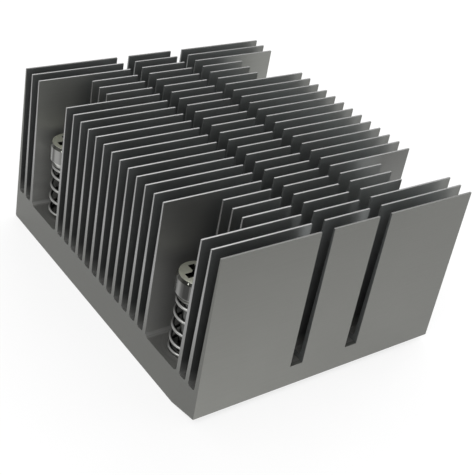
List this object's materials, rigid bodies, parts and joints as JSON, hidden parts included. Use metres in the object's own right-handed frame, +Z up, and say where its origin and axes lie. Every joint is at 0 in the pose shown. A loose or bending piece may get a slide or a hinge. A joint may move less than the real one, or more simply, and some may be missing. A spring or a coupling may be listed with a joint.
{
  "type": "server heat sink",
  "caption": "Finned aluminium block on a thick base, crossed by saw cuts, with a spring-loaded captive screw in a milled pocket at each corner.",
  "frame": {"origin": "centre of the base's underside, on the face that meets the processor", "axes": "+X along the fins, +Y across the fins, +Z up along the fins' height"},
  "size_m": [0.0874, 0.1078, 0.0538],
  "materials": {
    "extruded_aluminium": "satin extruded, milled and sawn ends",
    "nickel_steel": "bright nickel plate",
    "spring_steel": "bright drawn wire",
    "ring_steel": "stamped spring steel"
  },
  "bodies": {
    "heat_sink": {"finned_body": "extruded_aluminium", "spring_front_left": "spring_steel", "spring_front_right": "spring_steel", "spring_rear_left": "spring_steel", "spring_rear_right": "spring_steel"},
    "clip_front_left": {"retaining_ring_front_left": "ring_steel"},
    "screw_front_left": {"screw_front_left": "nickel_steel"},
    "clip_front_right": {"retaining_ring_front_right": "ring_steel"},
    "screw_front_right": {"screw_front_right": "nickel_steel"},
    "clip_rear_left": {"retaining_ring_rear_left": "ring_steel"},
    "screw_rear_left": {"screw_rear_left": "nickel_steel"},
    "clip_rear_right": {"retaining_ring_rear_right": "ring_steel"},
    "screw_rear_right": {"screw_rear_right": "nickel_steel"}
  },
  "joints": [
    {"name": "press_front_left", "type": "slide", "parent": "heat_sink", "child": "clip_front_left", "axis": [0, 0, -1], "range_m": [0, 0.004], "stiffness_N_per_m": 2500, "springref_m": -0.002, "deforming": ["spring_front_left"]},
    {"name": "turn_front_left", "type": "hinge", "parent": "clip_front_left", "child": "screw_front_left", "pos_m": [-0.036, -0.036, 0.02], "axis": [0, 0, 1], "continuous": true},
    {"name": "press_front_right", "type": "slide", "parent": "heat_sink", "child": "clip_front_right", "axis": [0, 0, -1], "range_m": [0, 0.004], "stiffness_N_per_m": 2500, "springref_m": -0.002, "deforming": ["spring_front_right"]},
    {"name": "turn_front_right", "type": "hinge", "parent": "clip_front_right", "child": "screw_front_right", "pos_m": [0.036, -0.036, 0.02], "axis": [0, 0, 1], "continuous": true},
    {"name": "press_rear_left", "type": "slide", "parent": "heat_sink", "child": "clip_rear_left", "axis": [0, 0, -1], "range_m": [0, 0.004], "stiffness_N_per_m": 2500, "springref_m": -0.002, "deforming": ["spring_rear_left"]},
    {"name": "turn_rear_left", "type": "hinge", "parent": "clip_rear_left", "child": "screw_rear_left", "pos_m": [-0.036, 0.036, 0.02], "axis": [0, 0, 1], "continuous": true},
    {"name": "press_rear_right", "type": "slide", "parent": "heat_sink", "child": "clip_rear_right", "axis": [0, 0, -1], "range_m": [0, 0.004], "stiffness_N_per_m": 2500, "springref_m": -0.002, "deforming": ["spring_rear_right"]},
    {"name": "turn_rear_right", "type": "hinge", "parent": "clip_rear_right", "child": "screw_rear_right", "pos_m": [0.036, 0.036, 0.02], "axis": [0, 0, 1], "continuous": true}
  ]
}
